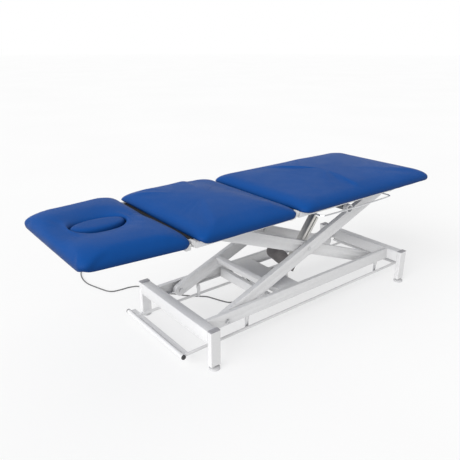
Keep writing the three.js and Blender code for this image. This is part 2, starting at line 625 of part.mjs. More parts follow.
const topRails = SIDES.map(([, sy]) => {
  const from = (a, b) => sorted(sy * a, sy * b);
  return cut(
    block(topX0, topX1, ...from(topRailInner, topRailOuter), topRailBottom, topRailTop),
    block(topX0 - 1, topX1 + 1, ...from(topRailInner + TOP_WEB, topRailOuter + 1),
      topRailBottom + TOP_FLANGE, topRailTop - TOP_FLANGE),
    pin("y", PIN_RADIUS + PIN_FIT, ...from(topRailInner - 1, topRailOuter), -halfSpan, topPivotZ),
    prism(notchShape, "y", ...from(topRailInner - 1, topRailOuter + 1), 4),
  );
});
const gasBar = ({ pinX, pinDrop }) =>
  pin("y", GAS_PIN_RADIUS, -topRailInner - 1, topRailInner + 1, pinX, frameBottom - pinDrop);
add("top_chassis", join(...topRails, gasBar(LEG_GAS), gasBar(HEAD_GAS)), "powder");

// ---- section frames ----
const tubeX = (x0, x1, y, z0 = frameBottom) =>
  bar("x", x0, x1, y - FRAME_TUBE / 2, y + FRAME_TUBE / 2, z0, frameTop);
const tubeY = (x0, half, z0 = frameBottom) => bar("y", x0, x0 + FRAME_TUBE, -half, half, z0, frameTop);
const outerY = FRAME_HALF_WIDTH - FRAME_TUBE / 2;
// An ear that carries a section hinge: a round end on the axis and a neck back to the frame.
const ear = (axisX, dir, y0, y1, withPin, sy) => {
  const [a, b] = sorted(sy * y0, sy * y1);
  const [n0, n1] = sorted(axisX, axisX + dir * (HINGE_SETBACK + 6));
  const round = pin("y", HINGE_EAR_RADIUS, a, b, axisX, cushionZ, 20);
  const neck = block(n0, n1, a, b, frameTop - 18, frameTop);
  if (!withPin) return cut(join(round, neck), bore(HINGE_PIN_RADIUS, axisX, cushionZ, a, b));
  const pinEnd = sorted(sy * (y0 + 1), sy * (FRAME_HALF_WIDTH - FRAME_TUBE));
  return join(round, neck, pin("y", HINGE_PIN_RADIUS, ...pinEnd, axisX, cushionZ, 16));
};
const earSplit = FRAME_HALF_WIDTH - FRAME_TUBE / 2;
const fixedEar = (axisX, dir, sy) => ear(axisX, dir, earSplit + GAP, FRAME_HALF_WIDTH - 0.5, true, sy);
const swingEar = (axisX, dir, sy) => ear(axisX, dir, FRAME_HALF_WIDTH - FRAME_TUBE + 0.5, earSplit, false, sy);

const seatX0 = headHingeX + HINGE_SETBACK;
const seatX1 = LEG_HINGE_X - HINGE_SETBACK;
const onRails = topRailTop + GAP;
add(
  "seat_frame",
  join(
    tubeX(seatX0, seatX1, outerY),
    tubeX(seatX0, seatX1, -outerY),
    tubeY(seatX0, outerY),
    tubeY(seatX1 - FRAME_TUBE, outerY, onRails),
    tubeY(-halfSpan - FRAME_TUBE, outerY, onRails),
    ...SIDES.flatMap(([, sy]) => [fixedEar(headHingeX, 1, sy), fixedEar(LEG_HINGE_X, -1, sy)]),
  ),
  "powder",
);
// The two lugs that take the rod end of a gas spring.
const gasLugs = ({ eyeX, eyeDrop }) =>
  SIDES.map(([, sy]) => {
    const eyeZ = frameBottom - eyeDrop;
    const [a, b] = sorted(sy * GAS_LUG_GAP, sy * (GAS_LUG_GAP + GAS_LUG_THICK));
    const s = new THREE.Shape();
    s.moveTo(eyeX - 13, frameBottom + 2).lineTo(eyeX - 13, eyeZ).absarc(eyeX, eyeZ, 13, Math.PI, 2 * Math.PI);
    s.lineTo(eyeX + 13, frameBottom + 2);
    return prism(s, "y", a, b, 6);
  });
const legX0 = LEG_HINGE_X + HINGE_SETBACK;
const legX1 = legX0 + LEG_FRAME_SIDE;
const legX2 = legX0 + LEG_FRAME_LENGTH;
const bailLug = (x) =>
  cut(
    block(x - 5, x + 5, BAIL_AXIS_Y - 8, -INNER_TUBE_Y - FRAME_TUBE / 2 + 2, bailZ - 9, frameBottom + 6),
    pin("x", BAIL_RADIUS + BAIL_FIT, x - 6, x + 6, BAIL_AXIS_Y, bailZ, 16),
  );
const bailLugX = [BAIL_X0 - BAIL_TAIL + 8, BAIL_X1 + BAIL_TAIL - 8];
add(
  "leg_frame",
  join(
    tubeX(legX0, legX1, outerY),
    tubeX(legX0, legX1, -outerY),
    tubeX(legX0 + 5, legX2, INNER_TUBE_Y),
    tubeX(legX0 + 5, legX2, -INNER_TUBE_Y),
    tubeY(legX0, outerY),
    tubeY(legX1 - FRAME_TUBE, outerY, onRails),
    tubeY(legX2 - FRAME_TUBE, INNER_TUBE_Y),
    tubeY(LEG_GAS.eyeX - FRAME_TUBE / 2, INNER_TUBE_Y),
    ...gasLugs(LEG_GAS),
    ...bailLugX.map(bailLug),
    ...SIDES.map(([, sy]) => swingEar(LEG_HINGE_X, 1, sy)),
  ),
  "powder",
);
const headX0 = headHingeX - HINGE_SETBACK;
const headX1 = headX0 - HEAD_FRAME_LENGTH;
add(
  "head_frame",
  join(
    tubeY(headX0 - FRAME_TUBE, FRAME_HALF_WIDTH),
    tubeX(headX1, headX0, HEAD_TUBE_Y),
    tubeX(headX1, headX0, -HEAD_TUBE_Y),
    tubeY(headX1, HEAD_TUBE_Y),
    tubeY(HEAD_GAS.eyeX - FRAME_TUBE / 2, HEAD_TUBE_Y),
    ...gasLugs(HEAD_GAS),
    ...SIDES.map(([, sy]) => swingEar(headHingeX, -1, sy)),
  ),
  "powder",
);

// ---- release bail on the near side of the leg section ----
// Half of the bail, from its tail in the lug out to the hand rod; the other half mirrors it.
const bailHalf = (x, dir) => [
  vec(x - dir * BAIL_TAIL, BAIL_AXIS_Y, bailZ),
  vec(x - dir * BAIL_BEND, BAIL_AXIS_Y, bailZ),
  vec(x - dir * 3, BAIL_AXIS_Y - 3, bailZ),
  vec(x, BAIL_AXIS_Y - BAIL_BEND, bailZ),
  vec(x, BAIL_Y + BAIL_BEND, bailZ),
  vec(x + dir * 4, BAIL_Y + 4, bailZ),
  vec(x + dir * BAIL_BEND, BAIL_Y, bailZ),
];
add(
  "release_bail",
  tube([...bailHalf(BAIL_X0, 1), ...bailHalf(BAIL_X1, -1).reverse()], BAIL_RADIUS, 8, 44),
  "chrome",
);

// ---- gas springs: the body turns on its bar in the chassis, the rod runs out of it ----
const gasSpring = (name, { pinX, pinDrop, eyeX, eyeDrop, body, rod, radius, dip }) => {
  const [pinZ, eyeZ] = [frameBottom - pinDrop, frameBottom - eyeDrop];
  const length = Math.hypot(eyeX - pinX, eyeZ - pinZ);
  const angle = Math.atan2(eyeZ - pinZ, eyeX - pinX);
  const housing = cut(
    join(
      pin("y", GAS_EYE_RADIUS, -GAS_EYE_HALF, GAS_EYE_HALF, 0, 0),
      along(GAS_ROD_RADIUS + 2, 8, 30),
      along(radius, 24, body, 24),
    ),
    pin("y", GAS_PIN_RADIUS + PIN_FIT, -GAS_EYE_HALF - 1, GAS_EYE_HALF + 1, 0, 0),
    along(GAS_ROD_RADIUS + PIN_FIT, length - rod - dip, body + 1),
  );
  add(`${name}_gas_body`, place(housing, pinX, pinZ, angle), "gas");
  const stem = cut(
    join(
      along(GAS_ROD_RADIUS, length - rod, length - 6),
      pin("y", GAS_EYE_RADIUS, -GAS_EYE_HALF, GAS_EYE_HALF, length, 0),
    ),
    pin("y", 5, -GAS_EYE_HALF - 1, GAS_EYE_HALF + 1, length, 0, 16),
  );
  add(`${name}_gas_rod`, place(stem, pinX, pinZ, angle), "chrome");
};
gasSpring("leg", LEG_GAS);
gasSpring("head", HEAD_GAS);

// ---- cushions: a flat bottom, a soft rounded edge and a slightly crowned top ----
const ringPoints = (halfX, halfY, r, steps) => {
  const ring = [];
  for (const [cx, cy, start] of [
    [1, 1, 0],
    [-1, 1, 1],
    [-1, -1, 2],
    [1, -1, 3],
  ])
    for (let i = 0; i <= steps; i++) {
      const t = ((start + i / steps) * Math.PI) / 2;
      ring.push([cx * (halfX - r) + r * Math.cos(t), cy * (halfY - r) + r * Math.sin(t)]);
    }
  return ring;
};
// Rings of equal count are stacked, then closed by a middle point below and above.
const loft = (rings, bottomZ, topZ) => {
  const n = rings[0].length;
  const flat = rings.flat(2);
  const index = [];
  rings.slice(1).forEach((_, k) => {
    for (let i = 0; i < n; i++) {
      const [a, b] = [k * n + i, k * n + ((i + 1) % n)];
      index.push(a, b, b + n, a, b + n, a + n);
    }
  });
  const [low, high] = [flat.length / 3, flat.length / 3 + 1];
  flat.push(0, 0, bottomZ, 0, 0, topZ);
  const last = (rings.length - 1) * n;
  for (let i = 0; i < n; i++) {
    const j = (i + 1) % n;
    index.push(low, j, i, high, last + i, last + j);
  }
  return new THREE.BufferGeometry()
    .setAttribute("position", new THREE.Float32BufferAttribute(flat, 3))
    .setIndex(index);
};
const EDGE_STEPS = 6;
const cushion = (x0, x1, widthAt) => {
  const [halfX, mid] = [(x1 - x0) / 2, (x0 + x1) / 2];
  const halfY = COUCH_WIDTH / 2;
  const taper = ([x, y], z) => [x, (y * widthAt((x + halfX) / (2 * halfX))) / COUCH_WIDTH, z];
  const ring = (inset, z) =>
    ringPoints(halfX - inset, halfY - inset, CUSHION_CORNER - 0.35 * inset, 4).map((p) => taper(p, z));
  const rings = [ring(4, 0)];
  for (let i = 0; i <= EDGE_STEPS; i++) {
    const t = (i / EDGE_STEPS) * (Math.PI / 2);
    rings.push(ring(CUSHION_INSET * (1 - Math.cos(t)), 5 + (CUSHION_EDGE - 5) * Math.sin(t)));
  }
  const rim = ring(CUSHION_INSET, 0);
  for (const f of [0.66, 0.33]) rings.push(rim.map(([x, y]) => [x * f, y * f, crownAt(f)]));
  return loft(rings, 0, crownAt(0)).translate(mid, 0, cushionZ);
};
const crownAt = (f) => CUSHION_EDGE + CUSHION_CROWN * (1 - f * f);
const straight = () => COUCH_WIDTH;
add("seat_cushion", cushion(headHingeX + CUSHION_SPLIT, LEG_HINGE_X - CUSHION_SPLIT, straight), "vinyl");
add("leg_cushion", cushion(LEG_HINGE_X + CUSHION_SPLIT, footEndX, straight), "vinyl");

const ellipse = (length, width) => new THREE.Shape().absellipse(0, 0, length / 2, width / 2, 0, 2 * Math.PI);
const faceX = headEndX + FACE_HOLE_FROM_END;
const headTaper = (f) => THREE.MathUtils.lerp(HEAD_END_WIDTH, HEAD_ROOT_WIDTH, f);
add(
  "head_cushion",
  cut(
    cushion(headEndX, headHingeX - CUSHION_SPLIT, headTaper),
    prism(ellipse(FACE_HOLE_LENGTH, FACE_HOLE_WIDTH), "z", cushionZ - 1, cushionZ + 100, 12).translate(faceX, 0, 0),
  ),
  "vinyl",
);
// The plug that closes the face hole: an oval pad with a rounded, slightly sunk top.
const ovalRing = (shrink, z) =>
  Array.from({ length: 24 }, (_, i) => {
    const t = (i / 24) * 2 * Math.PI;
    const [a, b] = [FACE_HOLE_LENGTH / 2 - PLUG_FIT - shrink, FACE_HOLE_WIDTH / 2 - PLUG_FIT - shrink];
    return [a * Math.cos(t), b * Math.sin(t), z];
  });
const plugTop = CUSHION_EDGE + CUSHION_CROWN - PLUG_RECESS;
add(
  "face_plug",
  loft(
    [
      ovalRing(2, 0),
      ovalRing(0, 3),
      ovalRing(0, plugTop - PLUG_CROWN - 8),
      ovalRing(3, plugTop - PLUG_CROWN - 3),
      ovalRing(9, plugTop - PLUG_CROWN + 1),
      ovalRing(24, plugTop - 2),
    ],
    0,
    plugTop,
  ).translate(faceX, 0, cushionZ),
  "vinyl",
);

// ---- foot switch bar: two rods under the rails, a pedal across each end, hung on four links ----
const pedalX = BASE_LENGTH / 2 + PEDAL_OVERHANG;
const pedal = (sx) => {
  const [t0, t1] = sorted(sx * (pedalX - PEDAL_RADIUS + 2), sx * (pedalX - PEDAL_RADIUS + 2 - TREAD_WIDE));
  const from = PEDAL_MARGIN - PEDAL_NEAR;
  const to = PEDAL_FAR - PEDAL_MARGIN;
  const ribs = [0.3, 0.5, 0.7].map((f) => {
    const x = t0 + (t1 - t0) * f;
    return block(x - 2, x + 2, from + PEDAL_MARGIN, to - PEDAL_MARGIN, ROD_Z + 1, ROD_Z + TREAD_THICK / 2 + 1.5);
  });
  return [
    pin("y", PEDAL_RADIUS, -PEDAL_NEAR, PEDAL_FAR, sx * pedalX, ROD_Z, 24),
    bar("y", t0, t1, from, to, ROD_Z - TREAD_THICK / 2, ROD_Z + TREAD_THICK / 2, 2),
    ...ribs,
  ];
};
const linkPins = SIDES.flatMap(([, sy]) =>
  [LINK_HEAD_X, LINK_FOOT_X].map((x) => pin("y", LINK_PIN_RADIUS, ...sorted(sy * (linkY - 1), sy * rodY), x, ROD_Z, 16)),
);
add(
  "foot_bar",
  join(
    ...SIDES.map(([, sy]) => pin("x", ROD_RADIUS, -pedalX, pedalX, sy * rodY, ROD_Z, 16)),
    ...pedal(-1),
    ...pedal(1),
    ...linkPins,
  ),
  "powder",
);
for (const [side, sy] of SIDES)
  for (const [end, x] of [
    ["head", LINK_HEAD_X],
    ["foot", LINK_FOOT_X],
  ]) {
    const [y0, y1] = sorted(sy * linkY, sy * (linkY + LINK_THICK));
    const s = new THREE.Shape();
    s.absarc(x, LINK_PIVOT_Z, LINK_WIDE / 2, 0, Math.PI);
    s.absarc(x, ROD_Z, LINK_WIDE / 2, Math.PI, 2 * Math.PI);
    add(
      `link_${end}_${side}`,
      cut(prism(s, "y", y0, y1, 8), bore(LINK_PIN_RADIUS, x, LINK_PIVOT_Z, y0, y1), bore(LINK_PIN_RADIUS, x, ROD_Z, y0, y1)),
      "zinc",
    );
  }

// ---- mains lead: gland under the control box, the lead on the floor, a coil and the plug ----
const glandTop = boxTop - BOX_DEPTH - GAP;
add(
  "lead_gland",
  turned([
    [0, 0],
    [0, 11],
    [9, 11],
    [10, 8],
    [16, 7],
    [GLAND_LENGTH, LEAD_RADIUS + 1],
    [GLAND_LENGTH, 0],
  ], 20)
    .rotateX(-Math.PI / 2)
    .translate(GLAND_X, GLAND_Y, glandTop),
  "plastic",
);
const leadStart = glandTop - GLAND_LENGTH - GAP;
const floorLead = LEAD_RADIUS + GAP;
const coilZ = GAP + COIL_HIGH / 2;
// The coil's tail leaves the ring along a tangent, on the side that faces the couch.
const tailLength = 44;
const tailX = COIL_X - (COIL_RADIUS + COIL_WIDE / 2 - LEAD_RADIUS);
const leadRoute = [
  [GLAND_X, GLAND_Y, leadStart],
  [GLAND_X, GLAND_Y, leadStart - 14],
  [GLAND_X - 8, GLAND_Y + 3, leadStart - 36],
  [GLAND_X - 26, GLAND_Y + 12, floorLead + 18],
  [GLAND_X - 56, GLAND_Y + 28, floorLead + 4],
  [-263, 111, floorLead],
  [-283, 146, floorLead],
  [-299, 187, floorLead],
  [-318, 233, floorLead],
  [-345, 261, floorLead],
  [-380, 295, floorLead],
  [-410, 327, floorLead],
  [-432, 362, floorLead],
  [-464, 394, floorLead],
  [-500, 450, floorLead],
  [-524, 512, floorLead],
  [-551, 571, floorLead],
  [-591, 590, floorLead],
  [-649, 595, floorLead],
  [-687, 603, floorLead],
  [-708, 622, floorLead],
  [-722, 655, floorLead],
  [-742, 716, floorLead],
  [-758, 775, floorLead],
  [-757, 850, floorLead],
  [-734, 930, floorLead],
  [-690, 1000, floorLead],
  [-644, 1048, floorLead],
  [tailX - 4, COIL_Y - tailLength - 34, floorLead],
  [tailX, COIL_Y - tailLength - 12, floorLead],
  [tailX, COIL_Y - tailLength - 0.5, floorLead],
];
add("mains_lead", tube(leadRoute.map((p) => vec(...p)), LEAD_RADIUS, 8, 72), "lead");
const coilRing = new THREE.LatheGeometry(
  Array.from({ length: 9 }, (_, i) => {
    const t = (i / 8) * 2 * Math.PI;
    return new THREE.Vector2(COIL_RADIUS + (COIL_WIDE / 2) * Math.cos(t), (COIL_HIGH / 2) * Math.sin(t));
  }),
  24,
)
  .rotateX(Math.PI / 2)
  .translate(COIL_X, COIL_Y, coilZ);
const plugX = COIL_X + 96;
const plugY = COIL_Y + 24;
const plugZ = PLUG_RADIUS + GAP;
const plugTail = [
  [COIL_X + COIL_RADIUS - 6, COIL_Y + 4, coilZ],
  [COIL_X + COIL_RADIUS - 2, COIL_Y - 26, coilZ],
  [COIL_X + 62, COIL_Y - 52, coilZ + 1],
  [plugX - 6, COIL_Y - 46, plugZ - 5],
  [plugX, COIL_Y - 24, plugZ],
  [plugX, plugY - 36, plugZ],
];
add(
  "mains_coil",
  join(
    coilRing,
    pin("y", LEAD_RADIUS, COIL_Y - tailLength, COIL_Y, tailX, floorLead, 10),
    tube(plugTail.map((p) => vec(...p)), LEAD_RADIUS, 8, 14),
  ),
  "lead",
);
const plugBody = turned([
  [0, 0],
  [0, LEAD_RADIUS + 1],
  [30, LEAD_RADIUS + 4],
  [34, PLUG_RADIUS - 5],
  [40, PLUG_RADIUS],
  [70, PLUG_RADIUS],
  [72, PLUG_RADIUS - 1.5],
  [72, 0],
], 16);
const prong = (dx) => pin("y", 2.4, 71, 90, dx, 0, 12);
add(
  "mains_plug",
  join(plugBody, prong(-9.5), prong(9.5)).translate(plugX, plugY - 36 + GAP, plugZ),
  "lead",
);

couch.position.x = -(headEndX + footEndX) / 2;
export default couch;
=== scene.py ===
"""Looks for the three-section electric treatment couch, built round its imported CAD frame.

Metres, +X to the foot end, -Y the near side, +Z up, the floor is z = 0.
"""
import json
import math

import bmesh
import bpy
import numpy as np
from mathutils import Matrix, Vector

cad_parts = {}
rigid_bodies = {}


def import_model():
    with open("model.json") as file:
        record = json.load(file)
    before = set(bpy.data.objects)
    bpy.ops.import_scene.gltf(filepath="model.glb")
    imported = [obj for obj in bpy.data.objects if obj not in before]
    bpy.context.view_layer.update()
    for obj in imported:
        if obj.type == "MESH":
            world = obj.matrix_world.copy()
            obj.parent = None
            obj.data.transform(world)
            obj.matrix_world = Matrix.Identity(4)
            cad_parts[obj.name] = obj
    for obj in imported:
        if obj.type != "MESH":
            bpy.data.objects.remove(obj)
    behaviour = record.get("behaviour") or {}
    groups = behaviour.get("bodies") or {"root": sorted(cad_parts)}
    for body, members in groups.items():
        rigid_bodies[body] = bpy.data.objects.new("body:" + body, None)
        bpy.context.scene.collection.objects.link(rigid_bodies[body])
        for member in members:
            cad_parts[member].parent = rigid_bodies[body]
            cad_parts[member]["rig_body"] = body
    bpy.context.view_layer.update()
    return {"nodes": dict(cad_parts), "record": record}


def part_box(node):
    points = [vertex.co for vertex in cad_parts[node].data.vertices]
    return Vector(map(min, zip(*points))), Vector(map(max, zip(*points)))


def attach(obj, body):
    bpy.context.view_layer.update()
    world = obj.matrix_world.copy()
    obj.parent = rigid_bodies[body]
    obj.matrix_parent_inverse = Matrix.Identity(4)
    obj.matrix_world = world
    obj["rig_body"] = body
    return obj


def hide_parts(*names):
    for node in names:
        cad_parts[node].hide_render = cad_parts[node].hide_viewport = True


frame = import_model()
NODES = frame["nodes"]
SCENE = bpy.context.scene
MM = 0.001

# ---------------------------------------------------------------- camera
SHIFT_X = 0.207  # middle of the base to the middle of the couch
CAMERA_AT = (-1.6969 + SHIFT_X, -1.7065, 1.3016)
CAMERA_DOWN = 21.02
CAMERA_TURN = -38.37
CAMERA_LENS = 39.05

camera_data = bpy.data.cameras.new("camera")
camera_data.lens = CAMERA_LENS
camera_data.sensor_width = 36
camera_data.clip_end = 200
camera = bpy.data.objects.new("camera", camera_data)
SCENE.collection.objects.link(camera)
camera.location = CAMERA_AT
camera.rotation_euler = (math.radians(90 - CAMERA_DOWN), 0, math.radians(CAMERA_TURN))
SCENE.camera = camera
SCENE.view_settings.view_transform = "Standard"


# ---------------------------------------------------------------- materials
class Nodes:
    """A short way to build one node material."""

    def __init__(self, name):
        self.mat = bpy.data.materials.new(name)
        self.mat.use_nodes = True
        self.tree = self.mat.node_tree
        self.bsdf = self.tree.nodes["Principled BSDF"]
        self.coord = self.tree.nodes.new("ShaderNodeTexCoord").outputs["Object"]

    def new(self, kind, **props):
        node = self.tree.nodes.new(kind)
        for key, value in props.items():
            if key in node.inputs:
                node.inputs[key].default_value = value
            else:
                setattr(node, key, value)
        return node

    def link(self, a, b):
        self.tree.links.new(a, b)

    def stretched(self, scale):
        node = self.new("ShaderNodeMapping")
        node.inputs["Scale"].default_value = scale
        self.link(self.coord, node.inputs["Vector"])
        return node.outputs[0]

    def noise(self, scale, detail=3.0, rough=0.55, vector=None):
        node = self.new("ShaderNodeTexNoise", Scale=scale, Detail=detail, Roughness=rough)
        self.link(vector or self.coord, node.inputs["Vector"])
        return node.outputs["Fac"]

    def cells(self, scale):
        node = self.new("ShaderNodeTexVoronoi", Scale=scale)
        self.link(self.coord, node.inputs["Vector"])
        return node.outputs["Distance"]

    def ramp(self, fac, stops):
        node = self.new("ShaderNodeValToRGB")
        while len(node.color_ramp.elements) < len(stops):
            node.color_ramp.elements.new(0.5)
        for element, (place, colour) in zip(node.color_ramp.elements, stops):
            element.position = place
            element.color = (*colour, 1) if len(colour) == 3 else colour
        self.link(fac, node.inputs["Fac"])
        return node.outputs["Color"]

    def span(self, fac, low, high):
        node = self.new("ShaderNodeMapRange")
        node.inputs["To Min"].default_value = low
        node.inputs["To Max"].default_value = high
        self.link(fac, node.inputs["Value"])
        return node.outputs["Result"]

    def mix(self, fac, a, b):
        node = self.new("ShaderNodeMix")
        node.data_type = "RGBA"
        self.link(fac, node.inputs["Factor"])
        self.link(a, node.inputs[6])
        self.link(b, node.inputs[7])
        return node.outputs[2]

    def bump(self, height, strength, distance, onto=None):
        node = self.new("ShaderNodeBump", Strength=strength, Distance=distance)
        self.link(height, node.inputs["Height"])
        if onto is not None:
            self.link(onto, node.inputs["Normal"])
        return node.outputs["Normal"]

    def done(self, color=None, roughness=None, normal=None, **flat):
        for name, socket in (("Base Color", color), ("Roughness", roughness), ("Normal", normal)):
            if socket is not None:
                self.link(socket, self.bsdf.inputs[name])
        for key, value in flat.items():
            self.bsdf.inputs[key.replace("_", " ")].default_value = value
        return self.mat


def shade(colour, factor):
    return tuple(min(1, c * factor) for c in colour)


def painted(name, colour, rough=0.34, spread=0.05, peel=0.12):
    """Powder coat: a faint orange peel, slow changes of tone and small dull scuffs."""
    n = Nodes(name)
    tone = n.ramp(n.noise(2.2, 4), [(0.3, shade(colour, 1 - spread)), (0.7, colour)])
    speck = n.ramp(n.noise(60, 6), [(0.46, shade(colour, 0.93)), (0.6, colour)])
    color = n.mix(n.span(n.noise(9, 2), 0.15, 0.45), tone, speck)
    rough_map = n.span(n.noise(28, 5), rough - 0.06, rough + 0.16)
    fine = n.bump(n.noise(900, 2), peel, 0.0004)
    return n.done(color, rough_map, n.bump(n.noise(7, 2), 0.05, 0.004, fine), IOR=1.5)


def moulded(name, colour, rough=0.55, grain=650, strength=0.25):
    """Spark-textured moulded plastic or rubber."""
    n = Nodes(name)
    color = n.ramp(n.noise(34, 5), [(0.3, shade(colour, 0.82)), (0.72, shade(colour, 1.12))])
    rough_map = n.span(n.noise(55, 4), rough - 0.1, rough + 0.12)
    return n.done(color, rough_map, n.bump(n.noise(grain, 3), strength, 0.0006))


def metal(name, colour, rough=0.25, brush=(1, 1, 1), depth=0.15):
    """Bare or plated metal with brushing along one axis."""
    n = Nodes(name)
    vector = n.stretched(brush)
    lines = n.noise(240, 4, vector=vector)
    color = n.ramp(n.noise(18, 5, vector=vector), [(0.25, shade(colour, 0.8)), (0.75, colour)])
    rough_map = n.span(lines, rough - 0.07, rough + 0.13)
    return n.done(color, rough_map, n.bump(lines, depth, 0.0003), Metallic=1.0)


def upholstery(name, colour):
    """Coated vinyl: fine leather grain over soft, barely seen creases, with a slight sheen; painted shade
    darkens the faces that turn away from straight up.
    """
    n = Nodes(name)
    slow = n.noise(2.6, 3)
    color = n.ramp(slow, [(0.28, shade(colour, 0.9)), (0.72, shade(colour, 1.05))])
    pores = n.ramp(n.cells(1150), [(0.0, shade(colour, 0.72)), (0.42, shade(colour, 1.03))])
    color = n.mix(n.span(n.noise(90, 2), 0.12, 0.34), color, pores)
    # painted shade: a darker copy of the blue on the pads' sides and undersides, mixed in by how far each
    # face turns from up
    side_shade_normal = n.new("ShaderNodeSeparateXYZ")
    n.link(n.tree.nodes["Texture Coordinate"].outputs["Normal"], side_shade_normal.inputs[0])
    sides = n.ramp(slow, [(0.0, shade(colour, 0.52)), (1.0, shade(colour, 0.58))])
    color = n.mix(n.span(side_shade_normal.outputs["Z"], 0.0, 1.0), sides, color)
    rough_map = n.span(n.noise(16, 4), 0.4, 0.56)
    grain = n.bump(n.cells(1150), 0.32, 0.0007)
    grain = n.bump(n.noise(420, 4), 0.2, 0.0008, grain)
    return n.done(color, rough_map, n.bump(n.noise(11, 3), 0.1, 0.004, grain),
                  Specular_IOR_Level=0.08, Sheen_Weight=0.01, Sheen_Roughness=0.5)


def felt(name, colour):
    """Non-woven dust cover under the cushions, whose black also serves as painted shade in the hinge gaps."""
    n = Nodes(name)
    color = n.ramp(n.noise(260, 6), [(0.3, shade(colour, 0.6)), (0.7, shade(colour, 1.3))])
    return n.done(color, n.span(n.noise(90, 3), 0.85, 0.98), n.bump(n.noise(700, 5), 0.6, 0.001))


MATERIAL = {
    "powder": painted("powder_coat", (0.70, 0.70, 0.705)),
    "cap": moulded("cap_plastic", (0.38, 0.375, 0.395), 0.5),
    "foot": moulded("foot_plastic", (0.56, 0.56, 0.57), 0.5),
    "rubber": moulded("rubber", (0.05, 0.05, 0.053), 0.7, 420, 0.4),
    "zinc": metal("zinc_plated", (0.72, 0.725, 0.735), 0.32, (1, 1, 1), 0.12),
    "bolt": metal("dark_plated", (0.23, 0.235, 0.25), 0.34, (1, 1, 1), 0.2),
    "nylon": moulded("nylon", (0.72, 0.71, 0.66), 0.45, 300, 0.12),
    "motor": moulded("motor_housing", (0.15, 0.14, 0.14), 0.52, 520, 0.35),
    "alloy": metal("anodised_tube", (0.72, 0.71, 0.68), 0.3, (0.05, 1, 1), 0.18),
    "chrome": metal("polished_steel", (0.82, 0.83, 0.85), 0.12, (0.2, 1, 1), 0.06),
    "plastic": moulded("box_plastic", (0.075, 0.08, 0.088), 0.55),
    "gas": painted("gas_spring_paint", (0.02, 0.021, 0.023), 0.25, 0.1, 0.05),
    "vinyl": upholstery("blue_vinyl", (0.004, 0.067, 0.285)),
    "lead": moulded("lead_sheath", (0.13, 0.13, 0.135), 0.5, 900, 0.1),
    "felt": felt("dust_cover_and_gap_shade", (0.02, 0.02, 0.022)),
    "brass": metal("plug_pins", (0.72, 0.62, 0.42), 0.25, (1, 1, 0.1)),
}
SLOT_OF = {s["node"]: s["material_slot"] for s in frame["record"]["subparts"]}


# ---------------------------------------------------------------- mesh helpers
def piece(name, mesh, material, body, smooth=True, angle=35.0):
    obj = bpy.data.objects.new(name, mesh)
    SCENE.collection.objects.link(obj)
    mesh.materials.clear()
    mesh.materials.append(MATERIAL[material])
    if smooth:
        for p in mesh.polygons:
            p.use_smooth = True
        mesh.set_sharp_from_angle(angle=math.radians(angle))
    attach(obj, body)
    return obj


def from_bmesh(bm, name):
    mesh = bpy.data.meshes.new(name)
    bm.normal_update()
    bm.to_mesh(mesh)
    bm.free()
    return mesh


def from_rings(rings, name, caps=True, loop=False):
    """A closed skin through rings of equal count; with loop the last ring meets the first."""
    bm = bmesh.new()
    rows = [[bm.verts.new(p) for p in ring] for ring in rings]
    pairs = list(zip(rows, rows[1:])) + ([(rows[-1], rows[0])] if loop else [])
    for a, b in pairs:
        for i in range(len(a)):
            j = (i + 1) % len(a)
            bm.faces.new((a[i], a[j], b[j], b[i]))
    if caps and not loop:
        bm.faces.new(list(reversed(rows[0])))
        bm.faces.new(rows[-1])
    bmesh.ops.recalc_face_normals(bm, faces=bm.faces)
    return from_bmesh(bm, name)


def swept(points, radius, name, sides=14, closed=False):
    """A round tube along a list of points, with a steady frame along its length."""
    pts = [Vector(p) for p in points]
    rings = []
    normal = None
    for i, p in enumerate(pts):
        a = pts[i - 1] if i or closed else pts[0]
        b = pts[(i + 1) % len(pts)] if i + 1 < len(pts) or closed else pts[-1]
        t = (b - a).normalized()
        if normal is None:
            normal = t.orthogonal().normalized()
        normal = (normal - t * normal.dot(t)).normalized()
        side = t.cross(normal)
        r = radius[i] if isinstance(radius, (list, tuple)) else radius
        ring = []
        for k in range(sides):
            angle = 2 * math.pi * k / sides
            ring.append(p + (normal * math.cos(angle) + side * math.sin(angle)) * r)
        rings.append(ring)
    return from_rings(rings, name, caps=not closed, loop=closed)


def turned(profile, at, axis, name, sides=48):
    """A turned piece: [distance along the axis, radius] from one end to the other."""
    turn = Vector((0, 0, 1)).rotation_difference(Vector(axis)).to_matrix()
    rings = []
    for along, r in profile:
        rings.append([
            Vector(at) + turn @ Vector((max(r, 1e-5) * math.cos(2 * math.pi * k / sides),
                                        max(r, 1e-5) * math.sin(2 * math.pi * k / sides), along))
            for k in range(sides)
        ])
    return from_rings(rings, name)


def spline(points, step):
    """Points every step along a centripetal curve through the given ones."""
    p = [Vector(q) for q in points]
    p = [p[0] * 2 - p[1]] + p + [p[-1] * 2 - p[-2]]
    out = []
    for i in range(1, len(p) - 2):
        p0, p1, p2, p3 = p[i - 1 : i + 3]
        t = [0.0]
        for a, b in ((p0, p1), (p1, p2), (p2, p3)):
            t.append(t[-1] + max((b - a).length, 1e-6) ** 0.5)
        count = max(2, int((p2 - p1).length / step))
        for k in range(count):
            u = t[1] + (t[2] - t[1]) * k / count
            a1 = p0 * ((t[1] - u) / (t[1] - t[0])) + p1 * ((u - t[0]) / (t[1] - t[0]))
            a2 = p1 * ((t[2] - u) / (t[2] - t[1])) + p2 * ((u - t[1]) / (t[2] - t[1]))
            a3 = p2 * ((t[3] - u) / (t[3] - t[2])) + p3 * ((u - t[2]) / (t[3] - t[2]))
            b1 = a1 * ((t[2] - u) / (t[2] - t[0])) + a2 * ((u - t[0]) / (t[2] - t[0]))
            b2 = a2 * ((t[3] - u) / (t[3] - t[1])) + a3 * ((u - t[1]) / (t[3] - t[1]))
            out.append(b1 * ((t[2] - u) / (t[2] - t[1])) + b2 * ((u - t[1]) / (t[2] - t[1])))
    out.append(p[-2])
    return out


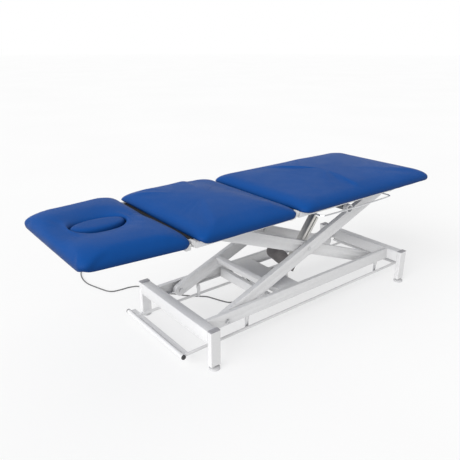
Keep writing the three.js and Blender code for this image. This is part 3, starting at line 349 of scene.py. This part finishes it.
# ---------------------------------------------------------------- mains lead
LEAD_R = 0.0035
LEAD_FLOOR = LEAD_R + 0.0003
gland_lo, gland_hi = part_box("lead_gland")
GLAND = Vector(((gland_lo.x + gland_hi.x) / 2, (gland_lo.y + gland_hi.y) / 2, gland_lo.z))
LEAD_START = GLAND.z - 0.0003
BASE_ROUTE = [
    (-172, 62, None), (-172, 62, -14), (-180, 65, -36), (-198, 74, 21.8), (-228, 90, 7.8),
    (-263, 111, 3.8), (-283, 146, 3.8), (-299, 187, 3.8), (-318, 233, 3.8), (-345, 261, 3.8),
    (-380, 295, 3.8), (-410, 327, 3.8), (-432, 362, 3.8), (-464, 394, 3.8), (-500, 450, 3.8),
    (-524, 512, 3.8), (-551, 571, 3.8), (-591, 590, 3.8), (-649, 595, 3.8), (-687, 603, 3.8),
    (-708, 622, 3.8), (-722, 655, 3.8), (-742, 716, 3.8), (-758, 775, 3.8), (-757, 850, 3.8),
    (-734, 930, 3.8), (-690, 1000, 3.8), (-644, 1048, 3.8),
]
COIL = Vector((-560 * MM + SHIFT_X, 1165 * MM, 0))
COIL_OUTER = 0.047
COIL_INNER = 0.033
COIL_TURNS = 4.5
TURN_POINTS = 40


def base_point(x, y, z):
    if z is None:
        z = LEAD_START / MM
    elif z < 0:
        z = LEAD_START / MM + z
    return Vector((x * MM + SHIFT_X, y * MM, z * MM))


def coil_point(turn):
    """The lead winds inwards on the floor for two turns, steps up, and winds outwards again."""
    angle = math.pi - 2 * math.pi * turn
    if turn <= 2:
        r, z = COIL_OUTER - 0.007 * turn, LEAD_FLOOR
    elif turn <= 2.5:
        r, z = COIL_INNER, LEAD_FLOOR + 0.007 * (turn - 2) / 0.5
    else:
        r, z = COIL_INNER + 0.007 * (turn - 2.5), LEAD_FLOOR + 0.007
    return COIL + Vector((r * math.cos(angle), r * math.sin(angle), z))


plug_lo, plug_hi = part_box("mains_plug")
PLUG_X = (plug_lo.x + plug_hi.x) / 2
PLUG_Z = (plug_lo.z + plug_hi.z) / 2
lead_route = [base_point(*p) for p in BASE_ROUTE]
COIL_APPROACH = ((-0.051, -0.078), (-0.047, -0.056), (-0.047, -0.030))
lead_route += [COIL + Vector((dx, dy, LEAD_FLOOR)) for dx, dy in COIL_APPROACH]
lead_route += [coil_point(i / TURN_POINTS) for i in range(int(COIL_TURNS * TURN_POINTS) + 1)]
lead_route += [
    COIL + Vector((0.047, -0.024, 0.0108)),
    COIL + Vector((0.056, -0.046, 0.0115)),
    COIL + Vector((0.073, -0.056, 0.0135)),
    COIL + Vector((0.090, -0.044, 0.0165)),
    Vector((PLUG_X, COIL.y - 0.024, PLUG_Z)),
    Vector((PLUG_X, plug_lo.y - 0.0003, PLUG_Z)),
]
lead_path = spline(lead_route, 0.004)
lead = piece("mains_lead_skin", swept(lead_path, LEAD_R, "mains_lead_skin", 12), "lead", "base")
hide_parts("mains_lead", "mains_coil")

# plug: a ribbed boot, a waisted body, two pins
plug_profile = [(0, 0.0), (0, 0.0046)]
for i in range(7):
    z = 0.002 + i * 0.004
    plug_profile += [(z, 0.0047 + i * 0.0004), (z + 0.0022, 0.0047 + i * 0.0004),
                     (z + 0.0024, 0.0040 + i * 0.0004), (z + 0.0036, 0.0040 + i * 0.0004)]
plug_profile += [(0.031, 0.0080), (0.034, 0.0125), (0.038, 0.0170), (0.042, 0.0186), (0.046, 0.0178),
                 (0.052, 0.0170), (0.058, 0.0178), (0.063, 0.0187), (0.069, 0.0187), (0.0715, 0.0178),
                 (0.072, 0.0150), (0.072, 0.0)]
plug_at = Vector((PLUG_X, plug_lo.y, PLUG_Z))
plug = piece("mains_plug_body", turned(plug_profile, plug_at, (0, 1, 0), "mains_plug_body"), "lead", "base")
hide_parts("mains_plug")
for k, dx in enumerate((-0.0095, 0.0095)):
    pin_profile = [(0.0715, 0.0), (0.0715, 0.0024), (0.0885, 0.0024), (0.0898, 0.0017), (0.09, 0.0)]
    pin_mesh = turned(pin_profile, plug_at + Vector((dx, 0, 0)), (0, 1, 0), f"plug_pin_{k}", 20)
    plug_pin = piece(f"plug_pin_{k}", pin_mesh, "brass", "base")

# hook-and-loop tie round the coil
tie_angle = 0.9
tie_dir = Vector((math.cos(tie_angle), math.sin(tie_angle), 0))
tie_side = Vector((-tie_dir.y, tie_dir.x, 0))
tie_mid = COIL + tie_dir * 0.040 + Vector((0, 0, 0.0075))
tie_rings = []
for across in (-0.006, 0.006):
    for half_w, half_h in ((0.0118, 0.0070), (0.0128, 0.0074)):
        ring = []
        for k in range(40):
            a = 2 * math.pi * k / 40
            u = abs(math.cos(a)) ** 0.5 * math.copysign(half_w, math.cos(a))
            v = abs(math.sin(a)) ** 0.5 * math.copysign(half_h, math.sin(a))
            ring.append(tie_mid + tie_dir * u + Vector((0, 0, v)) + tie_side * across)
        tie_rings.append(ring)
tie_mesh = from_rings([tie_rings[0], tie_rings[1], tie_rings[3], tie_rings[2]], "coil_tie", loop=True)
tie = piece("coil_tie", tie_mesh, "rubber", "base")


# ---------------------------------------------------------------- frame pieces from the CAD nodes
def refined(node, bevel, material=None, angle=30.0, segments=2):
    """The CAD node's own shape with its sharp edges rounded off."""
    bm = bmesh.new()
    bm.from_mesh(NODES[node].data)
    bmesh.ops.remove_doubles(bm, verts=bm.verts, dist=1e-5)
    bmesh.ops.dissolve_limit(bm, angle_limit=math.radians(1), verts=bm.verts, edges=bm.edges)
    if bevel:
        sharp = [e for e in bm.edges if len(e.link_faces) == 2 and e.calc_face_angle(0) > math.radians(angle)]
        bmesh.ops.bevel(bm, geom=sharp, offset=bevel, segments=segments, profile=0.5, affect="EDGES",
                        clamp_overlap=True)
    bmesh.ops.recalc_face_normals(bm, faces=bm.faces)
    slot = SLOT_OF[node]
    obj = piece(node + "_finished", from_bmesh(bm, node + "_finished"), material or slot,
                NODES[node]["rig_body"], angle=40)
    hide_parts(node)
    return obj


for node, obj in NODES.items():
    slot = SLOT_OF[node]
    obj.data.materials.clear()
    obj.data.materials.append(MATERIAL[slot])
    for p in obj.data.polygons:
        p.use_smooth = True
    obj.data.set_sharp_from_angle(angle=math.radians(35))

BEVELS = {
    "crossbeam_head": 1.2, "crossbeam_foot": 1.2, "cross_tube": 1.0, "motor_plate": 1.0,
    "base_rail_near": 0.8, "base_rail_far": 0.8, "arm_a_near": 1.6, "arm_a_far": 1.6,
    "arm_b_near": 1.6, "arm_b_far": 1.6, "arm_a_tie": 1.0, "arm_b_tie": 1.0,
    "control_box": 1.5, "cap_head_near": 0.6, "cap_head_far": 0.6, "cap_foot_near": 0.6,
    "cap_foot_far": 0.6, "link_head_near": 0.7, "link_head_far": 0.7, "link_foot_near": 0.7,
    "link_foot_far": 0.7, "actuator_tube": 0.8, "top_chassis": 0.8,
}
for node, width in BEVELS.items():
    refined(node, width * MM)


# ---------------------------------------------------------------- cushions
def outline(half_x, half_y, corner, root_scale, end_scale, count=480):
    """Rounded rectangle whose half width changes from end_scale at -X to root_scale at +X."""
    pts = []
    per = count // 4
    for q, (sx, sy) in enumerate(((1, 1), (-1, 1), (-1, -1), (1, -1))):
        for i in range(per + 1):
            t = (q + i / per) * math.pi / 2
            x = sx * (half_x - corner) + corner * math.cos(t)
            y = sy * (half_y - corner) + corner * math.sin(t)
            pts.append((x, y * (end_scale + (root_scale - end_scale) * (x + half_x) / (2 * half_x))))
    return pts


def polar(pts, x0, count):
    """The same outline as distances from a point (x0, 0) at even angles."""
    corners = np.array(pts + pts[:1]) - np.array([x0, 0.0])
    steps = np.linspace(0, 1, 24, endpoint=False)[:, None]
    xy = np.concatenate([a + (b - a) * steps for a, b in zip(corners, corners[1:])])
    grid = np.arange(count) / count * 2 * math.pi
    angles = np.arctan2(xy[:, 1], xy[:, 0])
    return grid, np.interp(grid, angles, np.hypot(xy[:, 0], xy[:, 1]), period=2 * math.pi)


COUCH_HALF_WIDTH = 0.339
SWELL_LIMIT = 0.006  # how far the pressure may move a point
HELD_BELOW = 0.006  # this much of each pad's underside stays put
EDGE = 0.050
CROWN = 0.010
INSET = 0.080
CORNER = 0.036  # in plan, at the bottom of the side; the top is rounder
SKIRT = 0.017  # how far the cover hangs past the board, outside the frame
SKIRT_WIDTH = 0.022
END_CLEAR = 0.014  # no skirt this close to a hinge
RING_COUNT = 264
START_IN = 0.002


def profile_ring(half_x, half_y, scales, inset, z, x0=0.0):
    pts = outline(half_x - inset, half_y - inset, CORNER + 0.55 * inset, *scales)
    grid, rad = polar(pts, x0, RING_COUNT)
    return [(x0 + r * math.cos(a), r * math.sin(a), z) for a, r in zip(grid, rad)]


def with_skirt(ring, half_x, half_y, scales, free_end):
    """The lowest rings drop along the two long sides and the free end, clear of the frame and the hinges."""
    out = []
    for x, y, z in ring:
        along = (x + half_x) / (2 * half_x)
        edge = half_y * (scales[1] + (scales[0] - scales[1]) * along) - abs(y)
        side = min(1, max(0, 1 - edge / SKIRT_WIDTH))
        if x * free_end > 0:
            side = max(side, min(1, max(0, 1 - (half_x - abs(x)) / SKIRT_WIDTH)))
        else:
            side *= min(1, max(0, (half_x - abs(x)) / END_CLEAR))
        out.append((x, y, z - SKIRT * side))
    return out


def cushion_rings(half_x, half_y, scales, free_end, x0=0.0):
    rings = [profile_ring(half_x, half_y, scales, START_IN + 0.030, 0.0045, x0),
             profile_ring(half_x, half_y, scales, START_IN + 0.012, 0.0015, x0),
             profile_ring(half_x, half_y, scales, START_IN + 0.002, 0.0030, x0)]
    rings = [with_skirt(ring, half_x, half_y, scales, free_end) for ring in rings]
    for i in range(11):
        t = i / 10 * math.pi / 2
        inset = START_IN + INSET * (1 - math.cos(t))
        rings.append(profile_ring(half_x, half_y, scales, inset, 0.006 + (EDGE - 0.0085) * math.sin(t), x0))
    return rings


def blow_up(obj, cap, pinned_below):
    """Pressure cloth: the pad swells a little and its skin finds its own soft shape."""
    mesh = obj.data
    rest = np.zeros(len(mesh.vertices) * 3)
    mesh.vertices.foreach_get("co", rest)
    rest = rest.reshape(-1, 3)
    group = obj.vertex_groups.new(name="held")
    low = rest[:, 2] < rest[:, 2].min() + pinned_below
    group.add([int(i) for i in np.nonzero(low)[0]], 1.0, "REPLACE")
    cloth = obj.modifiers.new("cloth", "CLOTH")
    cfg = cloth.settings
    cfg.quality = 4
    cfg.mass = 0.4
    cfg.tension_stiffness = cfg.compression_stiffness = 12
    cfg.shear_stiffness = 8
    cfg.bending_stiffness = 1.2
    cfg.use_pressure = True
    cfg.uniform_pressure_force = 4
    cfg.vertex_group_mass = "held"
    cfg.effector_weights.gravity = 0
    cloth.collision_settings.use_collision = False
    for f in range(1, 21):
        SCENE.frame_set(f)
    graph = bpy.context.evaluated_depsgraph_get()
    moved = np.zeros(len(rest) * 3)
    obj.evaluated_get(graph).data.vertices.foreach_get("co", moved)
    moved = moved.reshape(-1, 3)
    obj.modifiers.remove(cloth)
    obj.vertex_groups.clear()
    SCENE.frame_set(1)
    shift = moved - rest
    size = np.linalg.norm(shift, axis=1, keepdims=True)
    rest = rest + shift * np.minimum(1, cap / np.maximum(size, 1e-9))
    mesh.vertices.foreach_set("co", rest.reshape(-1))
    mesh.update()


def relax(obj, rounds, factor=0.5):
    bm = bmesh.new()
    bm.from_mesh(obj.data)
    for _ in range(rounds):
        bmesh.ops.smooth_vert(
            bm, verts=bm.verts, factor=factor, use_axis_x=True, use_axis_y=True, use_axis_z=True)
    bm.to_mesh(obj.data)
    bm.free()


def make_cushion(name, node, body, free_end, scales=(1.0, 1.0), hole=None):
    lo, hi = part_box(node)
    half_x = (hi.x - lo.x) / 2
    mid = Vector(((lo.x + hi.x) / 2, 0, lo.z))
    half_y = COUCH_HALF_WIDTH
    if hole is None:
        rings = cushion_rings(half_x, half_y, scales, free_end)
        rim = profile_ring(half_x, half_y, scales, START_IN + INSET, 0)
        for f in (0.8, 0.55, 0.3, 0.1):
            rings.append([(x * f, y * f, EDGE - 0.0025 + CROWN * (1 - f * f)) for x, y, _ in rim])
        mesh = from_rings(rings, name)
    else:
        hx, a, b = hole
        x0 = hx - mid.x
        rings = cushion_rings(half_x, half_y, scales, free_end, x0)
        rim = profile_ring(half_x, half_y, scales, START_IN + INSET, 0, x0)
        oval = [(x0 + a * math.cos(2 * math.pi * k / RING_COUNT), b * math.sin(2 * math.pi * k / RING_COUNT))
                for k in range(RING_COUNT)]
        # from the rim of the soft edge in to the hole, then down its wall
        for f, z in ((0.25, 0.0495), (0.5, 0.0515), (0.7, 0.0510), (0.84, 0.0475), (0.93, 0.0420),
                     (0.98, 0.0350), (1.0, 0.0270), (1.0, 0.0150), (1.0, 0.0050)):
            rings.append([(x + (u - x) * f, y + (v - y) * f, z) for (x, y, _), (u, v) in zip(rim, oval)])
        mesh = from_rings(rings, name, caps=False, loop=True)
    mesh.transform(Matrix.Translation(mid))
    obj = bpy.data.objects.new(name, mesh)
    SCENE.collection.objects.link(obj)
    blow_up(obj, SWELL_LIMIT, HELD_BELOW)
    relax(obj, 2)
    obj.data.materials.clear()
    obj.data.materials.append(MATERIAL["vinyl"])
    for p in obj.data.polygons:
        p.use_smooth = True
    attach(obj, body)
    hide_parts(node)
    return obj


HEAD_ROOT_WIDTH = 670
HEAD_END_WIDTH = 590
COUCH_WIDTH = 678
HEAD_SCALES = (HEAD_ROOT_WIDTH / COUCH_WIDTH, HEAD_END_WIDTH / COUCH_WIDTH)
FACE_HOLE = (0.1145, 0.0645)  # half length and half width
PLUG_HALF = (0.1110, 0.0610)
plug_node_lo, plug_node_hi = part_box("face_plug")
FACE_X = (plug_node_lo.x + plug_node_hi.x) / 2
make_cushion("seat_pad", "seat_cushion", "top", 0)
make_cushion("leg_pad", "leg_cushion", "leg_section", 1)
make_cushion("head_pad", "head_cushion", "head_section", -1, HEAD_SCALES, (FACE_X, *FACE_HOLE))

# dust covers: thin black felt boards under the pads, which close the gaps at the hinges; there their black is
# painted shade standing in for the dark gaps between the pads
HINGES = (-0.216 + SHIFT_X, -0.756 + SHIFT_X)
BOARD_Y = 0.270
PAD_Z = plug_node_lo.z
for name, x_a, x_b, body in (
    ("seat_board", HINGES[1] + 0.004, HINGES[0] - 0.004, "top"),
    ("leg_board", HINGES[0] + 0.004, HINGES[0] + 0.080, "leg_section"),
    ("head_board", HINGES[1] - 0.080, HINGES[1] - 0.004, "head_section"),
):
    bm = bmesh.new()
    bmesh.ops.create_cube(bm, size=1)
    bmesh.ops.transform(bm, verts=bm.verts, matrix=(
        Matrix.Translation(((x_a + x_b) / 2, 0, PAD_Z + 0.0019))
        @ Matrix.Diagonal((x_b - x_a, 2 * BOARD_Y, 0.003, 1))))
    bmesh.ops.bevel(bm, geom=bm.edges[:], offset=0.0008, segments=2, affect="EDGES")
    piece(name, from_bmesh(bm, name), "felt", body)

# round end plugs on the foot pedals
BASE_HALF = 0.682
PEDAL_X = BASE_HALF + 0.080
for k, (sx, y, dy) in enumerate(((-1, -0.2122, -1), (-1, 0.2682, 1), (1, -0.2122, -1), (1, 0.2682, 1))):
    cap_profile = [(0, 0), (0, 0.0108), (0.0035, 0.0108), (0.0050, 0.0102), (0.0058, 0.0086), (0.006, 0)]
    cap_at = (sx * PEDAL_X + SHIFT_X, y, 0.060)
    cap_mesh = turned(cap_profile, cap_at, (0, dy, 0), f"pedal_plug_{k}", 32)
    piece(f"pedal_plug_{k}", cap_mesh, "rubber", NODES["foot_bar"]["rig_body"])

# face plug: an oval pad with a rolled edge
plug_rings = []
for shrink, z in ((0.010, 0.0006), (0.003, 0.0010), (0.0012, 0.004), (0.0008, 0.018), (0.0012, 0.028),
                  (0.004, 0.0375), (0.010, 0.0420), (0.020, 0.0445), (0.032, 0.0455), (0.044, 0.0460)):
    plug_rings.append([
        (FACE_X + (PLUG_HALF[0] - shrink) * math.cos(2 * math.pi * k / 96),
         (PLUG_HALF[1] - shrink) * math.sin(2 * math.pi * k / 96), plug_node_lo.z + z)
        for k in range(96)
    ])
face_pad = piece("face_plug_pad", from_rings(plug_rings, "face_plug_pad"), "vinyl", "plug", angle=70)
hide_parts("face_plug")

# ---------------------------------------------------------------- floor, light
def plane(name, size, z):
    bm = bmesh.new()
    bmesh.ops.create_grid(bm, x_segments=1, y_segments=1, size=size)
    obj = bpy.data.objects.new(name, from_bmesh(bm, name))
    obj.location.z = z
    SCENE.collection.objects.link(obj)
    return obj


SKY = 0.62
SUN = 2.9
FLOOR_GLOW = 0.62
floor = plane("studio_floor", 60, -0.0005)
floor_mat = Nodes("studio_floor")
floor.data.materials.append(floor_mat.done(
    floor_mat.ramp(floor_mat.noise(0.6, 2), [(0.3, (0.33, 0.33, 0.33)), (0.7, (0.345, 0.345, 0.345))]),
    Roughness=0.95, Specular_IOR_Level=0.0, Emission_Color=(1, 1, 1, 1), Emission_Strength=FLOOR_GLOW))

# a pale wall far round the floor, so that no edge shows where the floor ends
WALL_RADIUS = 55
WALL_SIDES = 64
WALL_TOP = 9
wall_angles = [2 * math.pi * k / WALL_SIDES for k in range(WALL_SIDES)]
wall_rings = [[(WALL_RADIUS * math.cos(a), WALL_RADIUS * math.sin(a), z) for a in wall_angles]
              for z in (-0.01, WALL_TOP)]
wall = bpy.data.objects.new("studio_wall", from_rings(wall_rings, "studio_wall", caps=False))
SCENE.collection.objects.link(wall)
wall_mat = Nodes("studio_wall")
wall.data.materials.append(wall_mat.done(
    Base_Color=(0, 0, 0, 1), Specular_IOR_Level=0.0, Emission_Color=(1, 1, 1, 1), Emission_Strength=1.0))

world = bpy.data.worlds.new("studio")
world.use_nodes = True
world.node_tree.nodes["Background"].inputs["Color"].default_value = (1, 1, 1, 1)
world.node_tree.nodes["Background"].inputs["Strength"].default_value = SKY
SCENE.world = world

sun_data = bpy.data.lights.new("sun", "SUN")
sun_data.energy = SUN
sun_data.angle = math.radians(50)
sun = bpy.data.objects.new("sun", sun_data)
sun.rotation_euler = Vector((1.0, 0.16, -0.54)).to_track_quat("-Z", "Y").to_euler()
SCENE.collection.objects.link(sun)
